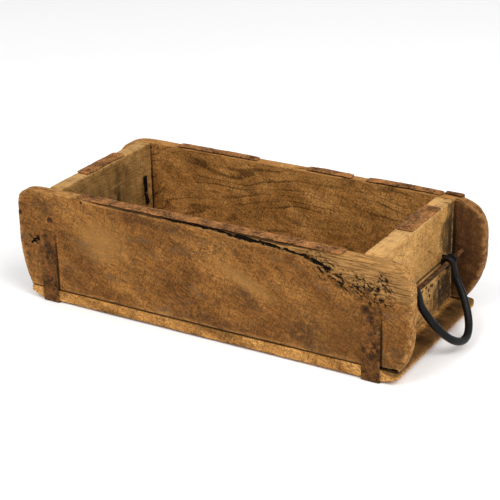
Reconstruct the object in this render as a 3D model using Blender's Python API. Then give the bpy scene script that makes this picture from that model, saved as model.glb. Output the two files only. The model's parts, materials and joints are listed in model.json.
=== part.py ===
"""Butter mold: a long wooden box bound with iron, with a swinging bail handle at each end.

Metres, +Z up. The origin is the middle of the surface that the box stands on, +X runs along the box
and +Y runs from the front side board to the back one. Touching pieces keep a gap of 0.3 mm.
"""

from math import atan2, cos, pi, radians, sin, sqrt

import bmesh
import bpy
import numpy as np
from mathutils import Vector

MM = 0.001
GAP = 0.3 * MM

# The box: two long side boards stand on the bottom board and hold the end boards between them.
STRAP_THICKNESS = 1.2 * MM
BOTTOM_LOW = STRAP_THICKNESS + GAP
BOTTOM_HIGH = BOTTOM_LOW + 9.4 * MM
BOTTOM_LEFT_REACH = 167 * MM
BOTTOM_RIGHT_REACH = 168.5 * MM
BOTTOM_LEFT_SLOPE = (14 * MM, 6.5 * MM)
BOTTOM_RIGHT_SLOPE = (16 * MM, 3.5 * MM)
WALL_LOW = BOTTOM_HIGH + GAP
WALL_HIGH = 97.3 * MM
BOX_HALF_WIDTH = 74.7 * MM
SIDE_THICKNESS = 10 * MM
SIDE_INNER = BOX_HALF_WIDTH - SIDE_THICKNESS
END_OUTER = 149.9 * MM
END_THICKNESS = {"left": 12.6 * MM, "right": 14.8 * MM}
END_INNER = {end: END_OUTER - thickness for end, thickness in END_THICKNESS.items()}
WORN_EDGE = 1.2 * MM

# Each end of a side board: its reach, how far and how suddenly its foot draws in, and how square its
# top corner is.
SIDE_BOARD_ENDS = {
    "front_side_board": {
        "left": {"reach": 176.3 * MM, "foot_inset": 9.5 * MM, "foot_power": 2.2, "squareness": 6.0},
        "right": {"reach": 178.6 * MM, "foot_inset": 10.4 * MM, "foot_power": 3.8, "squareness": 5.0},
    },
    "back_side_board": {
        "left": {"reach": 175 * MM, "foot_inset": 9.5 * MM, "foot_power": 2.2, "squareness": 3.1},
        "right": {"reach": 176.9 * MM, "foot_inset": 17 * MM, "foot_power": 2.2, "squareness": 3.5},
    },
}
WIDEST_HEIGHT = 58 * MM
TOP_ROUNDING_START = 130 * MM

# The iron straps that wrap under the box near its ends.
STRAP_X = 146.8 * MM
STRAP_HALF_WIDTH = 7.7 * MM
LEFT_STRAP_TOP = 63.5 * MM
RIGHT_STRAP_TOP = 61 * MM
STRAP_FOLD = 6 * MM
LEFT_STRAP_BACK_TOP = 93 * MM
STRAP_BEND = 1.5 * MM

# The iron strips nailed along the rim.
STRIP_THICKNESS = 1 * MM
STRIP_LOW = WALL_HIGH + GAP
STRIP_OVERHANG = 1.3 * MM
FRONT_STRIP_SPAN = (-115 * MM, 122 * MM)
BACK_STRIP_SPANS = {
    "back_rim_strip_left": (-109 * MM, -31 * MM),
    "back_rim_strip_middle": (16.6 * MM, 58 * MM),
    "back_rim_strip_right": (72 * MM, 138 * MM),
}
BACK_STRIP_WIDTH = 8.6 * MM
RIM_PLATE_SPANS = {"left": (-27 * MM, 26 * MM), "right": (-13 * MM, 40 * MM)}

# The rod across each end, the bail that swings on it, and the split pins that hold it.
ROD_X = 157.8 * MM
ROD_Z = 54.5 * MM
ROD_RADIUS = 2 * MM
ROD_STAND_OUT = 0.9 * MM
ROD_SUNK_END = 2 * MM
ROD_PLAY = 0.4 * MM
PIN_Y = {"left": 53 * MM, "right": 45 * MM}
PIN_WIRE = 1.2 * MM
PIN_LEG_SPREAD = 1.5 * MM
PIN_NECK = 2 * MM
PIN_CLINCH_UP = 17 * MM
PIN_CLINCH_DOWN = 12 * MM
BAIL_RADIUS = 3.1 * MM
BAIL_HALF_SPACING = 32.1 * MM
BAIL_DEPTH = 54.3 * MM
BAIL_SHOULDER = 4 * MM
BAIL_NECK = 14 * MM
BAIL_EYE_THICKNESS = 1.8 * MM
BAIL_EYE_HALF_WIDTH = 3.1 * MM
BAIL_CURL = radians(250)
BAIL_CENTRES = {"left": 2 * MM, "right": 5.7 * MM}
BAIL_HANG = radians(33)

# Nails: the head's radius and height, the shank's radius and the room round it in the wood.
NAIL_SHANK = 1.0 * MM
NAIL_ROOM = 0.35 * MM
NAIL_HEAD_HEIGHT = 0.8 * MM
NAIL_SIDES = 8
STRAP_NAIL = {"head": 2.6 * MM, "length": 20 * MM}
BOARD_NAIL = {"head": 2.4 * MM, "length": 24 * MM}
RIM_NAIL = {"head": 2.0 * MM, "length": 14 * MM}
BOTTOM_NAIL = {"head": 2.4 * MM, "length": 26 * MM}
STRAP_NAIL_HEIGHTS = {-1: (51.5 * MM, 21 * MM), 1: (77 * MM, 21 * MM)}
BOARD_NAIL_X = 143.6 * MM
BOARD_NAIL_HEIGHT = 73.4 * MM

ENDS = {"left": -1, "right": 1}


def empty_scene():
    """Removes whatever the scene held."""
    for thing in list(bpy.data.objects):
        bpy.data.objects.remove(thing, do_unlink=True)


def finish_material(name, colour, roughness, metallic):
    """A plain material of one colour."""
    made = bpy.data.materials.new(name)
    made.use_nodes = True
    shader = made.node_tree.nodes["Principled BSDF"]
    shader.inputs["Base Color"].default_value = (*colour, 1.0)
    shader.inputs["Roughness"].default_value = roughness
    shader.inputs["Metallic"].default_value = metallic
    return made


def place(name, solid, finish, origin=(0, 0, 0)):
    """Makes an object of a bmesh whose points are in world coordinates, with its origin at a chosen point."""
    bmesh.ops.recalc_face_normals(solid, faces=solid.faces)
    bmesh.ops.translate(solid, verts=solid.verts, vec=-Vector(origin))
    mesh = bpy.data.meshes.new(name)
    solid.to_mesh(mesh)
    solid.free()
    thing = bpy.data.objects.new(name, mesh)
    thing.location = origin
    if finish:
        mesh.materials.append(finish)
    bpy.context.scene.collection.objects.link(thing)
    return thing


def round_off(thing):
    """Smooth shading, with edges sharper than 40 degrees kept crisp."""
    thing.data.shade_smooth()
    thing.data.set_sharp_from_angle(angle=radians(40))
    return thing


def soften(thing, width):
    """A narrow worn bevel on the sharp edges."""
    bevel = thing.modifiers.new("worn_edge", "BEVEL")
    bevel.width = width
    bevel.segments = 1
    bevel.limit_method = "ANGLE"
    bevel.angle_limit = radians(40)
    return thing


def cut(thing, cutter):
    """Cuts a hidden cutter's shapes out of an object."""
    hole = thing.modifiers.new("cut_" + cutter.name, "BOOLEAN")
    hole.operation = "DIFFERENCE"
    hole.solver = "EXACT"
    hole.object = cutter
    return thing


def make_cutter(name, solid):
    """A cutter, which isn't part of the mold."""
    cutter = place(name, solid, None)
    cutter.hide_render = True
    cutter.display_type = "WIRE"
    return cutter


def skin(solid, rings):
    """Joins rings of points with faces and closes the first and the last ring."""
    loops = [[solid.verts.new(point) for point in ring] for ring in rings]
    count = len(loops[0])
    for low, high in zip(loops, loops[1:]):
        for i in range(count):
            j = (i + 1) % count
            solid.faces.new((low[i], low[j], high[j], high[i]))
    solid.faces.new(loops[0])
    solid.faces.new(loops[-1])


def add_block(solid, low, high):
    """Adds a box between two corners."""
    (x0, y0, z0), (x1, y1, z1) = low, high
    skin(solid, [[(x0, y0, z), (x1, y0, z), (x1, y1, z), (x0, y1, z)] for z in (z0, z1)])


def add_prism(solid, outline, y0, y1):
    """Adds an outline of (x, z) points, carried from y0 to y1."""
    skin(solid, [[(x, y, z) for x, z in outline] for y in (y0, y1)])


def add_turned(solid, profile, start, direction, sides):
    """Adds a turned solid: profile lists (distance along the axis, radius)."""
    axis = Vector(direction).normalized()
    across = axis.orthogonal().normalized()
    other = axis.cross(across)
    turns = [2 * pi * i / sides for i in range(sides)]
    rings = []
    for distance, radius in profile:
        centre = Vector(start) + axis * distance
        rings.append([centre + (across * cos(t) + other * sin(t)) * radius for t in turns])
    skin(solid, rings)


def add_sweep(solid, centres, outward, section):
    """Carries a section along a path.

    outward gives a direction roughly square to the path at each point. section gives, at each point,
    offsets (along outward, across it).
    """
    centres = np.asarray(centres, float)
    outward = np.asarray(outward, float)
    tangent = np.gradient(centres, axis=0)
    tangent /= np.linalg.norm(tangent, axis=1, keepdims=True)
    across = np.cross(tangent, outward)
    across /= np.linalg.norm(across, axis=1, keepdims=True)
    outward = np.cross(across, tangent)
    section = np.asarray(section, float)
    rings = centres[:, None] + section[..., :1] * outward[:, None] + section[..., 1:] * across[:, None]
    skin(solid, rings.tolist())


def oval(half_out, half_across, sides):
    """The points of an oval section."""
    turn = np.arange(sides) * 2 * pi / sides
    return np.stack([half_out * np.cos(turn), half_across * np.sin(turn)], axis=1)


def arc(centre, radius, start, end, steps):
    """Points of a plane arc, both ends included."""
    return [
        (centre[0] + radius * cos(t), centre[1] + radius * sin(t))
        for t in np.linspace(start, end, steps)
    ]


def filleted(corners, radius, steps=4):
    """A plane path through corners, with each inner corner turned on an arc."""
    points = [corners[0]]
    for before, corner, after in zip(corners, corners[1:], corners[2:]):
        before, corner, after = Vector(before), Vector(corner), Vector(after)
        come = (corner - before).normalized()
        go = (after - corner).normalized()
        bisector = (go - come).normalized()
        half_turn = go.angle(come) / 2
        centre = corner + bisector * (radius / cos(half_turn))
        side = 1 if come.x * go.y - come.y * go.x > 0 else -1
        first = (come.yx * Vector((1, -1))) * side
        start = atan2(first.y, first.x)
        points += arc(centre, radius, start, start + side * 2 * half_turn, steps)
    return points + [corners[-1]]


def end_edge(reach, foot_inset, foot_power, squareness):
    """One end of a side board, from its foot up to its top edge, as (x, z) points at +X.

    Below the widest height it draws in as a power of the depth. Above it is a quarter of a
    superellipse: (x / a) ** n + (z / b) ** n = 1.
    """
    points = []
    for t in np.linspace(1, 0, 7):
        height = WIDEST_HEIGHT - t * (WIDEST_HEIGHT - WALL_LOW)
        points.append((reach - foot_inset * t**foot_power, height))
    for turn in np.linspace(0, pi / 2, 13)[1:]:
        across = (reach - TOP_ROUNDING_START) * cos(turn) ** (2 / squareness)
        up = (WALL_HIGH - WIDEST_HEIGHT) * sin(turn) ** (2 / squareness)
        points.append((TOP_ROUNDING_START + across, WIDEST_HEIGHT + up))
    return points


def side_board(name, y0, y1, finish, cutters):
    """A long board with rounded, bulging ends that run on past the end boards."""
    ends = SIDE_BOARD_ENDS[name]
    right = end_edge(**ends["right"])
    left = [(-x, z) for x, z in reversed(end_edge(**ends["left"]))]
    solid = bmesh.new()
    add_prism(solid, right + left, y0, y1)
    board = soften(place(name, solid, finish, (0, (y0 + y1) / 2, WALL_LOW)), WORN_EDGE)
    for cutter in cutters:
        cut(board, cutter)


def end_board(end, side, finish, cutters):
    """A board across the box, between the side boards."""
    x0, x1 = sorted((side * END_INNER[end], side * END_OUTER))
    half = SIDE_INNER - GAP
    solid = bmesh.new()
    add_block(solid, (x0, -half, WALL_LOW), (x1, half, WALL_HIGH))
    place_at = (side * END_OUTER, 0, WALL_LOW)
    board = soften(place(end + "_end_board", solid, finish, place_at), WORN_EDGE)
    for cutter in cutters:
        cut(board, cutter)


def bottom_board(finish, cutters):
    """The board underneath, each end sawn to a slope below."""
    outline = [
        (-BOTTOM_LEFT_REACH, BOTTOM_HIGH),
        (-BOTTOM_LEFT_REACH, BOTTOM_LOW + BOTTOM_LEFT_SLOPE[1]),
        (-BOTTOM_LEFT_REACH + BOTTOM_LEFT_SLOPE[0], BOTTOM_LOW),
        (BOTTOM_RIGHT_REACH - BOTTOM_RIGHT_SLOPE[0], BOTTOM_LOW),
        (BOTTOM_RIGHT_REACH, BOTTOM_LOW + BOTTOM_RIGHT_SLOPE[1]),
        (BOTTOM_RIGHT_REACH, BOTTOM_HIGH),
    ]
    solid = bmesh.new()
    add_prism(solid, outline, -BOX_HALF_WIDTH, BOX_HALF_WIDTH)
    board = soften(place("bottom_board", solid, finish, (0, 0, BOTTOM_LOW)), WORN_EDGE)
    for cutter in cutters:
        cut(board, cutter)


def strap(name, side, front_top, finish, cutters):
    """A flat iron strap: up the front, under the box and up the back.

    The right one is folded over the back board's top. The left one ends just below it.
    """
    face = BOX_HALF_WIDTH + GAP + STRAP_THICKNESS / 2
    low = STRAP_THICKNESS / 2
    high = WALL_HIGH + GAP + STRAP_THICKNESS / 2
    corners = [(-face, front_top), (-face, low), (face, low)]
    corners += [(face, high), (face - STRAP_FOLD, high)] if side > 0 else [(face, LEFT_STRAP_BACK_TOP)]
    path = filleted(corners, STRAP_BEND)
    centres = np.array([(side * STRAP_X, y, z) for y, z in path])
    tangent = np.gradient(centres, axis=0)
    outward = np.cross(tangent, (1, 0, 0))
    half = STRAP_THICKNESS / 2
    section = [(half, STRAP_HALF_WIDTH), (half, -STRAP_HALF_WIDTH)]
    section += [(-half, -STRAP_HALF_WIDTH), (-half, STRAP_HALF_WIDTH)]
    solid = bmesh.new()
    add_sweep(solid, centres, outward, [section] * len(centres))
    made = place(name, solid, finish, (side * STRAP_X, 0, 0))
    for cutter in cutters:
        cut(made, cutter)


def rim_strip(name, low_xy, high_xy, finish, cutters):
    """A thin iron strip or plate lying on the rim."""
    solid = bmesh.new()
    add_block(solid, (*low_xy, STRIP_LOW), (*high_xy, STRIP_LOW + STRIP_THICKNESS))
    middle = [(a + b) / 2 for a, b in zip(low_xy, high_xy)]
    made = place(name, solid, finish, (*middle, STRIP_LOW))
    for cutter in cutters:
        cut(made, cutter)


def rim_strips(finish, cutters):
    """The front strip, the three lengths left of the back strip, and the plates on the end boards."""
    front_low = (FRONT_STRIP_SPAN[0], -BOX_HALF_WIDTH - STRIP_OVERHANG)
    rim_strip("front_rim_strip", front_low, (FRONT_STRIP_SPAN[1], -SIDE_INNER - GAP), finish, cutters)
    for name, (x0, x1) in BACK_STRIP_SPANS.items():
        y0 = SIDE_INNER + GAP
        rim_strip(name, (x0, y0), (x1, y0 + BACK_STRIP_WIDTH), finish, cutters)
    for end, side in ENDS.items():
        x0, x1 = sorted((side * END_INNER[end], side * END_OUTER))
        y0, y1 = RIM_PLATE_SPANS[end]
        rim_strip(end + "_rim_plate", (x0, y0), (x1, y1), finish, cutters)


def cross_rod(end, side, finish):
    """The iron rod across one end, through both side boards. The left one stops short of the front face."""
    front = BOX_HALF_WIDTH - ROD_SUNK_END if side < 0 else BOX_HALF_WIDTH + ROD_STAND_OUT
    back = BOX_HALF_WIDTH + ROD_STAND_OUT
    worn = 0.5 * MM
    profile = [
        (0, ROD_RADIUS - worn),
        (worn, ROD_RADIUS),
        (front + back - worn, ROD_RADIUS),
        (front + back, ROD_RADIUS - worn),
    ]
    solid = bmesh.new()
    add_turned(solid, profile, (side * ROD_X, -front, ROD_Z), (0, 1, 0), 16)
    round_off(place(end + "_cross_rod", solid, finish, (side * ROD_X, 0, ROD_Z)))


def split_pin_path(end):
    """The wire of a split pin, seen from the side: (outward from the rod's axis, up)."""
    eye = ROD_RADIUS + ROD_PLAY + PIN_WIRE
    to_neck = sqrt((eye + PIN_NECK) ** 2 - (PIN_LEG_SPREAD + PIN_NECK) ** 2)
    neck_angle = atan2(PIN_LEG_SPREAD + PIN_NECK, to_neck)
    clinch = END_INNER[end] - GAP - PIN_WIRE - ROD_X

    def leg(length):
        corners = [(clinch, length), (clinch, PIN_LEG_SPREAD), (-to_neck, PIN_LEG_SPREAD)]
        neck_centre = (-to_neck, PIN_LEG_SPREAD + PIN_NECK)
        return filleted(corners, 1.8 * MM) + arc(neck_centre, PIN_NECK, -pi / 2, -neck_angle, 4)[1:]

    ring = arc((0, 0), eye, pi - neck_angle, neck_angle - pi, 17)[1:-1]
    return leg(PIN_CLINCH_UP) + ring + [(x, -z) for x, z in reversed(leg(PIN_CLINCH_DOWN))]


def split_pin(end, side, place_name, y, finish):
    """A split pin: its eye holds the rod, its legs go through the end board and are clinched inside."""
    path = split_pin_path(end)
    centres = [(side * (ROD_X + x), y, ROD_Z + z) for x, z in path]
    tangent = np.gradient(np.array(centres), axis=0)
    section = oval(PIN_WIRE, PIN_WIRE, 8)
    solid = bmesh.new()
    add_sweep(solid, centres, np.cross(tangent, (0, 1, 0)), [section] * len(path))
    round_off(place(f"{end}_{place_name}_split_pin", solid, finish, (side * ROD_X, y, ROD_Z)))


def bail_half():
    """Half a bail, from the tip of its curled eye to the middle of its bow.

    Rows are (across, down the bail's plane, out of that plane, the same direction out of the metal's
    inner side as two numbers, half thickness, half width).
    """
    eye = ROD_RADIUS + ROD_PLAY + BAIL_EYE_THICKNESS
    turn = np.linspace(BAIL_CURL, 0, 15)[:-1]
    curl = np.stack(
        [
            np.full_like(turn, BAIL_HALF_SPACING),
            -eye * np.sin(turn),
            eye * np.cos(turn),
            -np.sin(turn),
            np.cos(turn),
            np.full_like(turn, BAIL_EYE_THICKNESS),
            np.full_like(turn, BAIL_EYE_HALF_WIDTH),
        ],
        axis=1,
    )
    shoulder = np.linspace(0, BAIL_SHOULDER, 5)[:-1]
    bow_turn = np.linspace(0, pi / 2, 13)
    across = np.concatenate([np.full_like(shoulder, BAIL_HALF_SPACING), BAIL_HALF_SPACING * np.cos(bow_turn)])
    bow_down = BAIL_SHOULDER + (BAIL_DEPTH - BAIL_SHOULDER) * np.sin(bow_turn)
    down = np.concatenate([shoulder, bow_down])
    swell = np.clip(down / BAIL_NECK, 0, 1)
    swell = swell * swell * (3 - 2 * swell)
    thickness = BAIL_EYE_THICKNESS + (BAIL_RADIUS - BAIL_EYE_THICKNESS) * swell
    width = BAIL_EYE_HALF_WIDTH + (BAIL_RADIUS - BAIL_EYE_HALF_WIDTH) * swell
    zero, one = np.zeros_like(down), np.ones_like(down)
    leg = np.stack([across, down, eye * (1 - swell), zero, one, thickness, width], axis=1)
    return np.concatenate([curl, leg])


def bail(end, side, centre, finish):
    """A bail handle: a round iron bar bent to a bow, its thinned ends curled round the rod."""
    half = bail_half()
    other = half[-2::-1].copy()
    other[:, 0] *= -1
    rows = np.concatenate([half, other])
    down = np.array((side * sin(BAIL_HANG), 0, -cos(BAIL_HANG)))
    out = np.array((side * cos(BAIL_HANG), 0, sin(BAIL_HANG)))
    axis_point = np.array((side * ROD_X, centre, ROD_Z))
    across = np.array((0, 1, 0))
    centres = axis_point + rows[:, :1] * across + rows[:, 1:2] * down + rows[:, 2:3] * out
    outward = rows[:, 3:4] * down + rows[:, 4:5] * out
    sections = [oval(thick, wide, 12) for thick, wide in rows[:, 5:7]]
    solid = bmesh.new()
    add_sweep(solid, centres, outward, sections)
    round_off(place(end + "_bail_handle", solid, finish, axis_point))


def nail_places():
    """Every nail: group name to a list of (point on the surface, direction into the wood, kind)."""
    face = BOX_HALF_WIDTH
    strap_face = face + GAP + STRAP_THICKNESS
    strip_top = STRIP_LOW + STRIP_THICKNESS
    inward = {-1: (0, 1, 0), 1: (0, -1, 0)}
    down = (0, 0, -1)
    groups = {}
    for end, side in ENDS.items():
        groups[end + "_strap_nail"] = [
            ((side * STRAP_X, front * strap_face, height), inward[front], STRAP_NAIL)
            for front, heights in STRAP_NAIL_HEIGHTS.items()
            for height in heights
        ]
    groups["front_board_nail"] = [
        ((side * BOARD_NAIL_X, -face, BOARD_NAIL_HEIGHT), inward[-1], BOARD_NAIL) for side in (-1, 1)
    ]
    front_y = -SIDE_INNER - 3.4 * MM
    groups["front_rim_nail"] = [
        ((x, front_y, strip_top), down, RIM_NAIL) for x in (-108 * MM, -44 * MM, 20 * MM, 114 * MM)
    ]
    back_y = SIDE_INNER + 4.6 * MM
    groups["back_rim_nail"] = [
        ((x, back_y, strip_top), down, RIM_NAIL)
        for span in BACK_STRIP_SPANS.values()
        for x in (span[0] + 6 * MM, span[1] - 6 * MM)
    ]
    groups["rim_plate_nail"] = [
        ((side * (END_OUTER - END_THICKNESS[end] / 2), y, strip_top), down, RIM_NAIL)
        for end, side in ENDS.items()
        for y in (RIM_PLATE_SPANS[end][0] + 7 * MM, RIM_PLATE_SPANS[end][1] - 7 * MM)
    ]
    groups["bottom_board_nail"] = [
        ((x, y, BOTTOM_LOW), (0, 0, 1), BOTTOM_NAIL)
        for x in (-100 * MM, 0, 100 * MM)
        for y in (-BOX_HALF_WIDTH + SIDE_THICKNESS / 2, BOX_HALF_WIDTH - SIDE_THICKNESS / 2)
    ]
    return groups


def nail(name, point, direction, kind, finish):
    """A wrought nail: a low domed head on a shank that tapers to its tip."""
    head, length = kind["head"], kind["length"]
    profile = [
        (-GAP - NAIL_HEAD_HEIGHT, head * 0.55),
        (-GAP - NAIL_HEAD_HEIGHT * 0.4, head),
        (-GAP, head),
        (-GAP, NAIL_SHANK),
        (length * 0.8, NAIL_SHANK),
        (length, NAIL_SHANK * 0.2),
    ]
    solid = bmesh.new()
    add_turned(solid, profile, point, direction, NAIL_SIDES)
    round_off(place(name, solid, finish, point))


def nails(groups, finish):
    """Every nail as a piece of its own, numbered within its group."""
    for group, places in groups.items():
        for number, (point, direction, kind) in enumerate(places, 1):
            nail(f"{group}_{number}", point, direction, kind, finish)


def nail_hole_cutter(groups):
    """The holes that the shanks of all the nails need."""
    solid = bmesh.new()
    above = 0.6 * MM
    for places in groups.values():
        for point, direction, kind in places:
            radius = NAIL_SHANK + NAIL_ROOM
            profile = [(-above, radius), (kind["length"] + above, radius)]
            add_turned(solid, profile, point, direction, NAIL_SIDES)
    return make_cutter("nail_holes", solid)


def rod_hole_cutter():
    """The holes for both rods, through both side boards."""
    solid = bmesh.new()
    reach = BOX_HALF_WIDTH + 5 * MM
    for side in ENDS.values():
        profile = [(0, ROD_RADIUS + ROD_PLAY), (2 * reach, ROD_RADIUS + ROD_PLAY)]
        add_turned(solid, profile, (side * ROD_X, -reach, ROD_Z), (0, 1, 0), 16)
    return make_cutter("rod_holes", solid)


def pin_slot_cutter():
    """A slot through the end board for the two legs of each split pin."""
    half_y = PIN_WIRE + 0.4 * MM
    half_z = PIN_LEG_SPREAD + PIN_WIRE + 0.4 * MM
    solid = bmesh.new()
    for end, side in ENDS.items():
        x0, x1 = sorted((side * (END_INNER[end] - 5 * MM), side * (END_OUTER + 5 * MM)))
        for y in (-PIN_Y[end], PIN_Y[end]):
            add_block(solid, (x0, y - half_y, ROD_Z - half_z), (x1, y + half_y, ROD_Z + half_z))
    return make_cutter("pin_slots", solid)


def build():
    """Builds the whole mold."""
    empty_scene()
    board_wood = finish_material("board_wood", (0.36, 0.21, 0.09), 0.75, 0.0)
    end_wood = finish_material("end_wood", (0.44, 0.29, 0.14), 0.75, 0.0)
    rusty_iron = finish_material("rusty_iron", (0.16, 0.08, 0.05), 0.8, 0.6)
    rim_iron = finish_material("rim_iron", (0.33, 0.17, 0.1), 0.8, 0.5)
    rod_iron = finish_material("rod_iron", (0.24, 0.12, 0.05), 0.7, 0.6)
    black_iron = finish_material("black_iron", (0.015, 0.014, 0.014), 0.4, 0.8)
    nail_iron = finish_material("nail_iron", (0.06, 0.04, 0.035), 0.7, 0.7)

    groups = nail_places()
    nail_holes = nail_hole_cutter(groups)
    rod_holes = rod_hole_cutter()
    pin_slots = pin_slot_cutter()

    bottom_board(board_wood, [nail_holes])
    side_board("front_side_board", -BOX_HALF_WIDTH, -SIDE_INNER, board_wood, [nail_holes, rod_holes])
    side_board("back_side_board", SIDE_INNER, BOX_HALF_WIDTH, board_wood, [nail_holes, rod_holes])
    for end, side in ENDS.items():
        end_board(end, side, end_wood, [nail_holes, pin_slots])
        cross_rod(end, side, rod_iron)
        bail(end, side, BAIL_CENTRES[end], black_iron)
        split_pin(end, side, "front", -PIN_Y[end], black_iron)
        split_pin(end, side, "back", PIN_Y[end], black_iron)
    strap("left_strap", -1, LEFT_STRAP_TOP, rusty_iron, [nail_holes])
    strap("right_strap", 1, RIGHT_STRAP_TOP, rusty_iron, [nail_holes])
    rim_strips(rim_iron, [nail_holes])
    nails(groups, nail_iron)


build()
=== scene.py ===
# %% [markdown]
# # A butter mold: worn boards, rusty straps and a swinging bail at each end
# The mold is a long wooden box. Two side boards stand on a bottom board and hold the end boards between
# them, iron straps wrap the whole, and a bail handle hangs from a rod at each end. The frame below brings
# in that box as plain solids. Each step then replaces some of them with a surface that shows how the real
# piece is made and how it has aged.

import json
from itertools import product
from math import cos, pi, radians, sin

import bmesh
import bpy
import numpy as np
from mathutils import Matrix, Vector


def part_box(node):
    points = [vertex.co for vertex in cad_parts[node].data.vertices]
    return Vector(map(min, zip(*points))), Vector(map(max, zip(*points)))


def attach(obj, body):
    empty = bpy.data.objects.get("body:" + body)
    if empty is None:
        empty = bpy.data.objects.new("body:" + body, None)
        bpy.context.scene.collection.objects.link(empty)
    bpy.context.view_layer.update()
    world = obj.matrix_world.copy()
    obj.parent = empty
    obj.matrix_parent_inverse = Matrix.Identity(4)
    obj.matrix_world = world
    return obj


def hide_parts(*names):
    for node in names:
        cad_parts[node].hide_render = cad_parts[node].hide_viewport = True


MM = 0.001
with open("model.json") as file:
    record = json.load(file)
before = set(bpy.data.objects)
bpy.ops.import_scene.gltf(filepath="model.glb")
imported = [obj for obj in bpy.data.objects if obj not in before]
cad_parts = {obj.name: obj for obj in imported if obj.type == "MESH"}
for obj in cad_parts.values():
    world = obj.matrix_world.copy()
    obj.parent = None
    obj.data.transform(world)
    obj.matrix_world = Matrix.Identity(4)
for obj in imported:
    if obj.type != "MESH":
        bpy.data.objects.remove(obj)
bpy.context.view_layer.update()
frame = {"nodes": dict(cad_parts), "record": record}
sides = {"left": -1, "right": 1}


def span(node):
    """Lowest and highest corner of a solid of the frame, as two arrays."""
    low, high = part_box(node)
    return np.array(low), np.array(high)


# %% [markdown]
# ## Noise that every surface shares
# Old wood and iron are never flat, so each surface needs a smooth random height. Blender has noise in its
# shaders, but a shape has to be in the mesh itself. Value noise is short to write for whole arrays at once:
# a random number for each whole-number cell, blended smoothly in between.

# %% Value noise
def cell_value(cells, seed):
    """A number from 0 to 1 for each cell: its coordinates times large primes, mixed by shifts."""
    mixed = cells[..., 0] * 73856093 ^ cells[..., 1] * 19349663 ^ cells[..., 2] * 83492791
    mixed = (mixed ^ seed * 668265263) & 0xFFFFFFFF
    mixed = ((mixed ^ mixed >> 15) * 2246822519) & 0xFFFFFFFF
    mixed = ((mixed ^ mixed >> 13) * 3266489917) & 0xFFFFFFFF
    return (mixed ^ mixed >> 16) / 0xFFFFFFFF


def value_noise(points, seed):
    """Noise from -1 to 1: the eight corners' values, each weighted by 3t² - 2t³ along every axis."""
    base = np.floor(points).astype(np.int64)
    t = points - base
    t = t * t * (3 - 2 * t)
    total = 0
    for corner in product((0, 1), repeat=3):
        weight = np.prod(np.where(corner, t, 1 - t), axis=-1)
        total = total + weight * cell_value(base + np.array(corner), seed)
    return 2 * total - 1


def ripple(points, sizes, seed, octaves=3):
    """Noise whose humps are about `sizes` mm long, wide and high, plus finer octaves of half the strength."""
    scaled = points / (np.array(sizes) * MM)
    total = sum(value_noise(scaled * 2**i + 9.7 * i, seed + i) / 2**i for i in range(octaves))
    return total / (2 - 2.0 ** (1 - octaves))


def ease(value, start, end):
    """0 before start, 1 after end and 3t² - 2t³ between them."""
    t = np.clip((value - start) / (end - start), 0, 1)
    return t * t * (3 - 2 * t)


print("noise at three points:", ripple(np.eye(3) * 0.01, (8, 8, 8), 1).round(3))

# %% [markdown]
# ## From a grid of numbers to a closed mesh
# Every piece here is a grid of points: rows that follow one another and columns that go round. One helper
# joins neighbours with faces and closes the two ends, so each piece only has to say where its points are.
# A bar's ends close at a point in their middle. A board's two faces close along a line, where the points
# of a row meet in pairs and are merged.

# %% The mesh maker
def enclosed(points, faces):
    """Signed volume inside the faces: the sum of p0 · (p1 × p2) / 6 over their triangles."""
    a, b, c, d = (points[faces[:, i]] for i in range(4))
    return (np.einsum("ij,ij", a, np.cross(b, c)) + np.einsum("ij,ij", a, np.cross(c, d))) / 6


def surface(name, grid, poles=True, marks=None):
    """A closed mesh object from a (rows, columns, 3) grid. marks are named numbers kept on its points."""
    rows, columns = grid.shape[:2]
    index = np.arange(rows * columns).reshape(rows, columns)
    beside = np.roll(index, -1, axis=1)
    faces = np.stack([index[:-1], beside[:-1], beside[1:], index[1:]], axis=-1).reshape(-1, 4)
    points = grid.reshape(-1, 3)
    if poles:
        points = np.concatenate([points, grid[[0, -1]].mean(axis=1)])
        first, last = (np.full(columns, rows * columns + i) for i in (0, 1))
        caps = [np.stack([beside[0], index[0], first, first], -1)]
        caps.append(np.stack([index[-1], beside[-1], last, last], -1))
        faces = np.concatenate([faces, *caps])
    if enclosed(points, faces) < 0:
        faces = faces[:, ::-1]
    mesh = bpy.data.meshes.new(name)
    corners = [list(dict.fromkeys(face)) for face in faces[-2 * columns :].tolist()] if poles else []
    quads = faces[: len(faces) - len(corners)]
    loops = np.concatenate([quads.ravel(), np.array(corners, int).ravel()]).astype(np.int32)
    sizes = np.concatenate([np.full(len(quads), 4), np.full(len(corners), 3)])
    mesh.vertices.add(len(points))
    mesh.vertices.foreach_set("co", points.astype(np.float32).ravel())
    mesh.loops.add(len(loops))
    mesh.loops.foreach_set("vertex_index", loops)
    mesh.polygons.add(len(sizes))
    mesh.polygons.foreach_set("loop_start", (np.cumsum(sizes) - sizes).astype(np.int32))
    mesh.update(calc_edges=True)
    for mark, values in (marks or {}).items():
        spread = np.zeros(len(points), np.float32)
        spread[: values.size] = values.ravel()
        mesh.attributes.new(mark, "FLOAT", "POINT").data.foreach_set("value", spread)
    if not poles:
        merge_pairs(mesh)
    mesh.shade_smooth()
    thing = bpy.data.objects.new(name, mesh)
    bpy.context.scene.collection.objects.link(thing)
    return thing


def merge_pairs(mesh):
    """Merges points that lie in one place, which closes the line where a board's rows meet."""
    merged = bmesh.new()
    merged.from_mesh(mesh)
    bmesh.ops.remove_doubles(merged, verts=merged.verts, dist=1e-6)
    merged.to_mesh(mesh)
    merged.free()


def finish(thing, material, nodes, body="box"):
    """Gives a piece its finish and its body, and hides the solids of the frame that it stands for."""
    thing.data.materials.append(material)
    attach(thing, body)
    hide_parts(*nodes)
    return thing


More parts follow.
